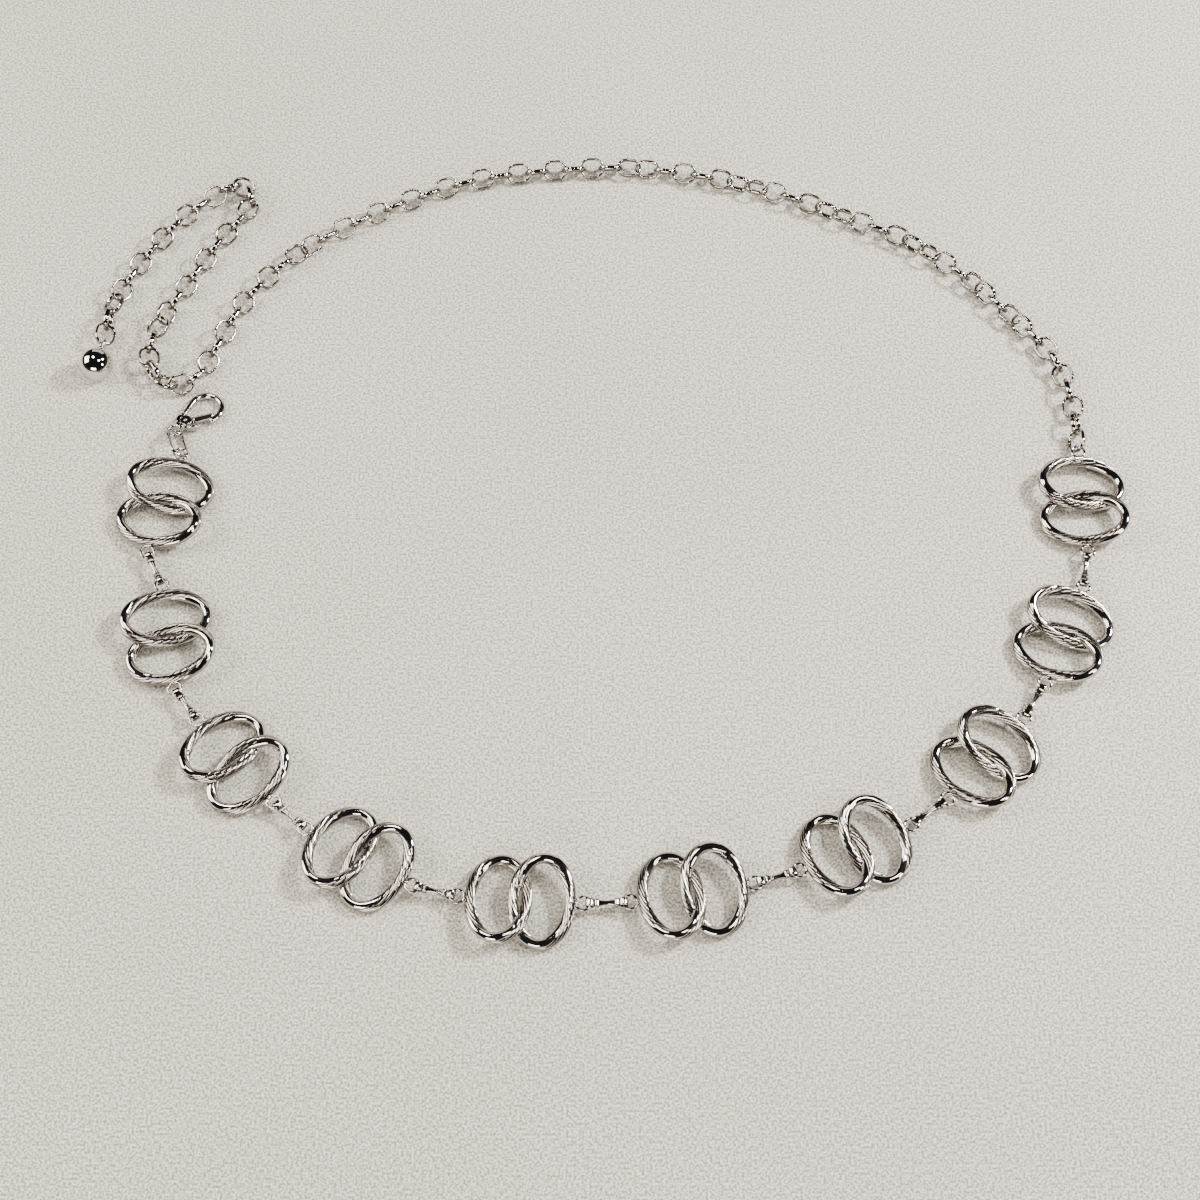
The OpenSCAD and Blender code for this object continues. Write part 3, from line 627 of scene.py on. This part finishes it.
def oval_path(length, width, wire):
    """The middle line of an oval link: two half circles and two straight sides. The places on
    one side crowd together where the wire's two ends meet."""
    r, half = (width - wire) / 2, (length - width) / 2
    t = np.linspace(-np.pi / 2, np.pi / 2, BEND_STEPS)
    bend = np.stack([half + r * np.cos(t), r * np.sin(t)], -1)
    even = np.linspace(half, -half, SIDE_STEPS + 2)[1:-1]
    seamed, plain = (np.stack([x, np.full(SIDE_STEPS, r)], -1) for x in (half * SEAM_PLACES, even))
    flat = np.vstack([bend, seamed, -bend, -plain])
    seam = np.zeros(len(flat))
    seam[BEND_STEPS + SIDE_STEPS // 2] = 1
    return np.c_[flat, 0 * flat[:, 0]], seam


def band_section():
    """The section of a link's wire in shares of its half thickness and half width: both faces are
    arcs of one radius, less the arc's drop at each place, and they meet in a narrow rim."""
    y = LINK_BAND / 2 * np.array([0.965, 0.8, 0.45, 0, -0.45, -0.8, -0.965])
    x = LINK_WIRE / 2 - LINK_DOME + np.sqrt(LINK_DOME**2 - y**2)
    low_rim, high_rim = (0, -LINK_BAND / 2), (0, LINK_BAND / 2)
    points = np.vstack([np.c_[x, y], [low_rim], np.c_[-x, y][::-1], [high_rim]])
    return points / (LINK_WIRE / 2, LINK_BAND / 2)


def link_shape(length, width, wire, flat, sides=14, section=None):
    """One closed link, with a fine seam where the wire's two ends meet: the wire is thinner
    there and the seam gets painted shade.
    """
    path, seam = oval_path(length, width, wire)
    return swept(path, UP, wire * (1 - SEAM_DEPTH * seam), flat * (1 - SEAM_NARROW * seam), sides,
                 closed=True, painted_shade=seam * SEAM_SHADE, section=section)


cable_link = link_shape(LINK_LEN, LINK_WID, LINK_WIRE, LINK_BAND, section=band_section())


def run_of_links(first, after):
    """The same link at each place of the run, rolled about its own length and then turned."""
    return together(*[
        placed(cable_link, turned("z", link_heading[n]) @ turned("x", link_roll[n]),
               spot(link_at[n], link_z[n]))
        for n in range(first, after)])


make("waist_run_polished", run_of_links(0, tail_first), chain_metal, "chain", "chain_metal",
     "waist_run", side_shade=1.6)
make("tail_run_polished", run_of_links(tail_first, link_count), chain_metal, "chain", "chain_metal",
     "tail_run", side_shade=1.6)

# ---- Clasp ----

ARM_SHARE, ARM_GROWS_BY, ARM_GROW_POWER, SEAT_SHADE, NO_SEAT = 0.6, 0.95, 1.1, 0.5, 10.0
BARREL_SQUARE, LEVER_SQUARE, ROOT_SHARE, FORK_EXIT = 4, 2.3, 0.98, 0.5
HUB_CLEAR, TAB_STEPS, TAB_SPANS = 0.9, 10, 3

oval_turn = turned("z", OVAL_HEADING) @ turned("y", oval_pitch) @ turned("x", OVAL_ROLL)
make("clasp_link_polished",
     placed(link_shape(OVAL_LEN, OVAL_WID, OVAL_WIRE, OVAL_WIRE, 20), oval_turn,
            spot(ROW_START + oval_flat / 2 * toward(OVAL_HEADING), (orn_z + CLASP_EYE_Z) / 2)),
     chain_metal, "chain", "chain_metal", "clasp_link", side_shade=1.3)

base_x = CLASP_EYE_D / 2 - CLASP_EYE_WIRE / 2
pivot_x = CLASP_EYE_D / 2 + PIVOT_REACH
lever_r = PIN_D / 2 + BARREL_WALL
slot_r = lever_r + SLOT_GAP
slot_t = LEVER_T + 2 * LEVER_GAP
cheek_r = slot_r + CHEEK_WALL
arm_wire = ARM_SHARE * HOOK_WIRE
arm_off = slot_r + arm_wire / 2 + CLASP_GAP
arm_heading = math.degrees(math.asin((hook_r - arm_off) / (HOOK_REACH - pivot_x)))
arm_to = np.array([HOOK_REACH, 0]) + hook_r * toward(90 + arm_heading)
arm_len = (arm_to[0] - pivot_x + 0.4) / math.cos(math.radians(arm_heading))
arm_from = arm_to - arm_len * toward(arm_heading)
hook_tip_x = HOOK_REACH - TIP_BACK
lever_tip = np.array([hook_tip_x + TIP_LAP, (LEVER_W + HOOK_WIRE) / 2 - hook_r - TIP_DEPTH])
lever_free_r = cheek_r + CLASP_GAP
# The thumb tab: shares of the reach from the pivot to the hook's bend, and of the hook's radius
TAB = np.array([(-0.076, -0.41), (0.127, -0.67), (0.278, -0.9), (0.373, -1.12)])
tab_path = np.array([pivot_x, 0]) + TAB * (HOOK_REACH - pivot_x, hook_r)
clasp_turn = turned("z", CLASP_HEADING) @ turned("y", clasp_pitch)
clasp_spot = spot(clasp_eye, CLASP_EYE_Z)


def seat_height(x):
    """Where the lever's seat cuts the hook's end: along the lever's lower side, a gap away, and
    round its tip by a quarter of a circle."""
    slant = math.atan2(lever_tip[1], lever_tip[0] - pivot_x)
    half = LEVER_W / 2 + TIP_GAP
    line = math.tan(slant) * (x - pivot_x) - (half + 0.02) / math.cos(slant)
    off = x - lever_tip[0]
    curve = lever_tip[1] - np.sqrt(np.clip(half**2 - off**2, 0, None))
    seat = np.where(off > half * math.sin(slant), curve, line)
    return np.where(off < half, seat, NO_SEAT)


def hook_rod():
    """The hook: a round rod along the straight arm, round the bend and back to its tip. Its
    thickness grows along the arm, by the run so far to the power 1.1, its tip is rounded off like
    half a ball, and the top of its end is cut down to the lever's seat, with painted shade where
    it is cut."""
    arm = np.linspace(arm_from, arm_to, 16)[:-1]
    q = np.radians(np.linspace(90 + arm_heading, -90, 64))
    bend = np.stack([HOOK_REACH + hook_r * np.cos(q), hook_r * np.sin(q)], -1)
    back = np.linspace((HOOK_REACH, -hook_r), (hook_tip_x - HOOK_WIRE / 2 + 0.02, -hook_r), 20)[1:]
    tip = back[-1] + np.array([HOOK_WIRE / 2, 0]) - np.outer(
        np.sin(np.linspace(0, 0.5 * np.pi, 11)), (HOOK_WIRE / 2 - 0.02, 0))
    path = np.vstack([arm, bend, back[back[:, 0] > tip[0, 0] + 0.02], tip])
    run = np.r_[0, np.cumsum(np.linalg.norm(np.diff(path, axis=0), axis=1))]
    grown = np.clip(run / (ARM_GROWS_BY * np.linalg.norm(arm_to - arm_from)), 0, 1)
    thick = arm_wire + (HOOK_WIRE - arm_wire) * grown**ARM_GROW_POWER
    from_end = np.clip((run[-1] - run) / (HOOK_WIRE / 2), 0, 1)
    thick = thick * np.sqrt(np.clip(1 - (1 - from_end) ** 2, 0.002, 1))
    points, quads, tris, shade_amount = swept(np.c_[path, 0 * path[:, 0]], UP, thick, thick, 40)
    near_side = points[:, 1] < 0
    cut = np.where(near_side, np.minimum(points[:, 1], seat_height(points[:, 0])), points[:, 1])
    # Painted shade where the top of the hook is cut down to the lever's seat
    shade_amount = np.where(near_side & (cut < points[:, 1] - 0.05), SEAT_SHADE, shade_amount)
    return np.c_[points[:, 0], cut, points[:, 2]], quads, tris, shade_amount


def clasp_body_shape():
    """Eye, solid back of the base, two cheeks that leave a slot for the lever, pin and hook."""
    back = soft_outline([
        (base_x - 0.25, -0.9), (base_x - 0.25, 0.9), (arm_from[0] - 0.5, arm_from[1] + 0.25),
        (arm_from[0] + 1.4, arm_from[1] + 1.0), (pivot_x + 1.7, arm_off + 0.55),
        (pivot_x + 1.2, slot_r + 0.15), (pivot_x - slot_r + 0.5, slot_r + 0.1),
        (pivot_x - slot_r - 0.05, 0.3), (pivot_x - slot_r - 0.1, -cheek_r + 0.9),
        (pivot_x - 1.75, -cheek_r + 0.45)])
    q = np.radians(np.arange(0, 360, 45))
    ear = soft_outline(np.stack([pivot_x + cheek_r * np.cos(q), cheek_r * np.sin(q)], -1))
    cheek_t = (BASE_T - slot_t) / 2
    parts = [wire_ring(clasp_eye_r, CLASP_EYE_WIRE, 18, 64), plate(back, rounded(BASE_T, 0.55, 7)),
             hook_rod()]
    cheek = plate(ear, rounded(cheek_t, 0.24))
    for s in (-1, 1):
        parts.append(placed(cheek, np.eye(3), (0, 0, s * (slot_t + cheek_t) / 2)))
    head = ((-1.56, 0.55), (-1.53, 0.85), (-1.46, 1), (-1.2, 1))
    pin = [(s * z, PIN_D / 2 * k) for s, end in ((1, head), (-1, head[::-1])) for z, k in end]
    parts.append(placed(turned_on_axis(pin, 24), turned("y", -90), (pivot_x, 0, 0)))
    return together(*parts)


def lever_shape():
    """The lever: a barrel about the pin with a hole for it, a rounded arm whose tip lies in the
    hook's end, and a thumb tab that curls outward along the first three spans of its curve. Both
    are thin between the fork's cheeks and grow to the hook's thickness beyond them, by a sine."""
    t = np.linspace(0, 2 * np.pi, 40, endpoint=False)
    bore = PIN_D / 2 + PIN_GAP
    r = (lever_r + bore) / 2
    path = np.stack([pivot_x + r * np.cos(t), r * np.sin(t), 0 * t], -1)
    parts = [swept(path, UP, lever_r - bore, LEVER_T, 18, closed=True, power=BARREL_SQUARE)]
    hub = np.array([pivot_x, 0.0])
    tab_root = hub + 0.3 * (tab_path[0] - hub)
    tab_turns = soft_outline(np.vstack([tab_root, tab_path]), TAB_STEPS)
    tab_turns = tab_turns[:TAB_SPANS * TAB_STEPS + 1]
    way = (lever_tip - hub) / np.linalg.norm(lever_tip - hub)
    arm_line = np.linspace(hub + HUB_CLEAR * way, lever_tip + LEVER_W / 2 * way, 44)
    out = np.linalg.norm(tab_turns - hub, axis=1)
    root_t = LEVER_T * ROOT_SHARE
    for line, full, root in ((arm_line, LEVER_W, 0.2), (tab_turns[out > HUB_CLEAR], TAB_W, 0.1)):
        run = np.r_[0, np.cumsum(np.linalg.norm(np.diff(line, axis=0), axis=1))]
        left = np.clip((run[-1] - run) / (full / 2), 0, 1)
        narrow = np.sqrt(np.clip(1 - (1 - left) ** 2, 0.004, 1))
        past_fork = np.linalg.norm(line - hub, axis=1) - lever_free_r
        out_of_fork = np.clip(past_fork / FORK_EXIT, 0, 1)
        thick = root_t + (HOOK_WIRE - root_t) * np.sin(np.pi / 2 * out_of_fork)
        wide = (full + root * (1 - run / run[-1])) * narrow
        parts.append(swept(np.c_[line, 0 * run], UP, wide, thick * narrow, 28, power=LEVER_SQUARE))
    return together(*parts)


make("clasp_body_polished", placed(clasp_body_shape(), clasp_turn, clasp_spot), clasp_metal,
     "chain", "clasp_metal", "clasp_body", side_shade=0.7)
make("clasp_lever_polished", placed(lever_shape(), clasp_turn, clasp_spot), clasp_metal,
     "lever", "clasp_metal", "clasp_lever", side_shade=0.7)

# ---- End ball ----


def ball_shape():
    """The ball and its neck are one lathe's shape: half a circle, a small concave curve, the neck
    and its collar, about the line from the ball's centre to its loop."""
    q = np.linspace(0, np.pi, 64)
    r = BALL_D / 2
    x, y = -r * np.cos(q), r * np.sin(q)
    keep = (y > NECK_D / 2 + 0.12) | (x < 0)
    reach = loop_reach - loop_r
    neck = [(math.sqrt(r * r - 1.25) + 0.16, NECK_D / 2 + 0.02), (r + 0.3, NECK_D / 2 - 0.05),
            (reach - 0.75, NECK_D / 2 - 0.12), (reach - 0.4, NECK_D / 2 - 0.02),
            (reach - 0.1, NECK_D / 2 - 0.12), (reach + 0.12, NECK_D / 2 - 0.45)]
    profile = [(a, b) for a, b in zip(x[keep], y[keep]) if b > 0.02] + neck
    body = turned_on_axis(profile, 96)
    tip = math.degrees(math.asin(loop_drop / loop_reach))
    turn = turned("z", end_heading + 180) @ turned("y", tip)
    body = placed(body, turn, spot(ball_at, BALL_D / 2))
    loop = placed(wire_ring(loop_r, LOOP_WIRE, 16, 64),
                  turned("z", end_heading) @ turned("x", link_roll[-1] + 90), spot(loop_at, loop_z))
    return together(body, loop)


make("end_ball_polished", ball_shape(), ball_metal, "chain", "ball_metal", "end_ball", side_shade=0.25)

# ---- Table, light and camera ----

TABLE_REACH, TABLE_ROUGH, TABLE_GLOSS = 6.0, 0.75, 0.2
GRAIN_SCALE, CLOUD_SCALE, GRAIN_HEIGHT = 1500, 9, 0.0001
SHADE_FROM, SHADE_TO = 0.38, 0.62
GRAIN_SHADES = (0.35, 0.332, 0.285, 1), (1.0, 0.977, 0.905, 1)
CLOUD_SHADES = (0.95, 0.945, 0.94, 1), (1.0, 1.0, 1.0, 1)
# Height of the view's direction, the room's colour there
ROOM = [(0.0, (0.30, 0.225, 0.165, 1)), (0.06, (0.08, 0.064, 0.052, 1)),
        (0.30, (0.012, 0.012, 0.013, 1))]
WARM, DAYLIGHT, PINK = (1, 0.92, 0.81), (1, 0.98, 0.94), (1, 0.80, 0.70)
# Name, bearing and height in degrees, distance, width and length in metres, watts, colour
LAMPS = [
    ("key_right", 18, 41, 1.1, 0.16, 0.18, 18.2, DAYLIGHT),
    ("window_left", 171, 33, 1.1, 0.62, 0.50, 10.6, WARM),
    ("window_front", -106, 21, 1.1, 0.58, 0.24, 7.2, WARM),
    ("right_side", -27, 30, 1.1, 0.20, 0.22, 3.8, WARM),
    ("overhead_left", 138, 69, 1.2, 0.18, 0.26, 4.0, WARM),
    ("overhead_right", -13, 67, 1.2, 0.18, 0.24, 3.6, WARM),
    ("far_wall", 88, 21, 1.2, 1.1, 0.46, 1.7, PINK),
]
# Focal length and half the picture in pixels, the eye's height in millimetres, its elevation
FOCAL, HALF_PICTURE, EYE_HEIGHT, EYE_ELEVATION = 2200, 600, 561.5, 62


def stops(nodes, wire, source, *places):
    """A run of colours between places on the source's own range, each a place and a colour."""
    node = nodes.new("ShaderNodeValToRGB")
    run = node.color_ramp.elements
    run[0].position, run[0].color = places[0]
    run[1].position, run[1].color = places[-1]
    for at, colour in places[1:-1]:
        run.new(at).color = colour
    wire(source, node.inputs["Fac"])
    return node.outputs["Color"]


def table_top():
    """A plain pale table: one flat square with a fine, even grain and faint broad clouds."""
    corners = [(-TABLE_REACH, -TABLE_REACH, 0), (TABLE_REACH, -TABLE_REACH, 0),
               (TABLE_REACH, TABLE_REACH, 0), (-TABLE_REACH, TABLE_REACH, 0)]
    mesh = bpy.data.meshes.new("table_top")
    mesh.from_pydata(corners, [], [(0, 1, 2, 3)])
    m = bpy.data.materials.new("pale_table")
    m.use_nodes = True
    nodes, wire = m.node_tree.nodes, m.node_tree.links.new
    shader = nodes["Principled BSDF"]
    shader.inputs["Roughness"].default_value = TABLE_ROUGH
    shader.inputs["Specular IOR Level"].default_value = TABLE_GLOSS
    where = nodes.new("ShaderNodeTexCoord").outputs["Object"]
    grain = noise(nodes, wire, where, GRAIN_SCALE)
    cloud = noise(nodes, wire, where, CLOUD_SCALE)
    mix = blended(nodes, "MULTIPLY", 1)
    for socket, source, (dim, bright) in (("A", grain, GRAIN_SHADES), ("B", cloud, CLOUD_SHADES)):
        shades = stops(nodes, wire, source.outputs["Fac"], (SHADE_FROM, dim), (SHADE_TO, bright))
        wire(shades, mix.inputs[socket])
    wire(mix.outputs["Result"], shader.inputs["Base Color"])
    bump = relief(nodes, wire, grain.outputs["Fac"], GRAIN_HEIGHT, strength=0.25)
    wire(bump.outputs[0], shader.inputs["Normal"])
    mesh.materials.append(m)
    table = bpy.data.objects.new("table_top", mesh)
    bpy.context.scene.collection.objects.link(table)


def room():
    """The air of the room: dim warm walls low down, a dark ceiling, by the height of the view."""
    world = bpy.data.worlds.new("room")
    world.use_nodes = True
    nodes, wire = world.node_tree.nodes, world.node_tree.links.new
    where = nodes.new("ShaderNodeTexCoord").outputs["Generated"]
    parts = nodes.new("ShaderNodeSeparateXYZ")
    wire(where, parts.inputs[0])
    wire(stops(nodes, wire, parts.outputs["Z"], *ROOM), nodes["Background"].inputs["Color"])
    nodes["Background"].inputs["Strength"].default_value = 1.0
    bpy.context.scene.world = world


def soft_lamp(name, azimuth, elevation, distance, wide, tall, power, colour):
    """A soft oblong lamp at a bearing and height as seen from the chain's middle, facing it."""
    a, e = math.radians(azimuth), math.radians(elevation)
    way = Vector((math.cos(a) * math.cos(e), math.sin(a) * math.cos(e), math.sin(e)))
    data = bpy.data.lights.new(name, "AREA")
    data.shape = "RECTANGLE"
    data.size, data.size_y = wide, tall
    data.energy, data.color = power, colour
    lamp = bpy.data.objects.new(name, data)
    lamp.location = way * distance
    lamp.rotation_euler = way.to_track_quat("Z", "Y").to_euler()
    bpy.context.scene.collection.objects.link(lamp)


def camera():
    """The camera of the photograph: 62 degrees above the table, over the near side. Its lens is to
    half its sensor as the focal length is to half the picture."""
    data = bpy.data.cameras.new("camera")
    data.sensor_width = 36
    data.lens = data.sensor_width / 2 * FOCAL / HALF_PICTURE
    data.clip_start, data.clip_end = 0.01, 50
    eye = bpy.data.objects.new("camera", data)
    eye.location = (-middle[0] * METRE, -middle[1] * METRE, EYE_HEIGHT * METRE)
    eye.rotation_euler = (math.radians(90 - EYE_ELEVATION), 0, 0)
    bpy.context.scene.collection.objects.link(eye)
    bpy.context.scene.camera = eye


table_top()
room()
for values in LAMPS:
    soft_lamp(*values)
camera()
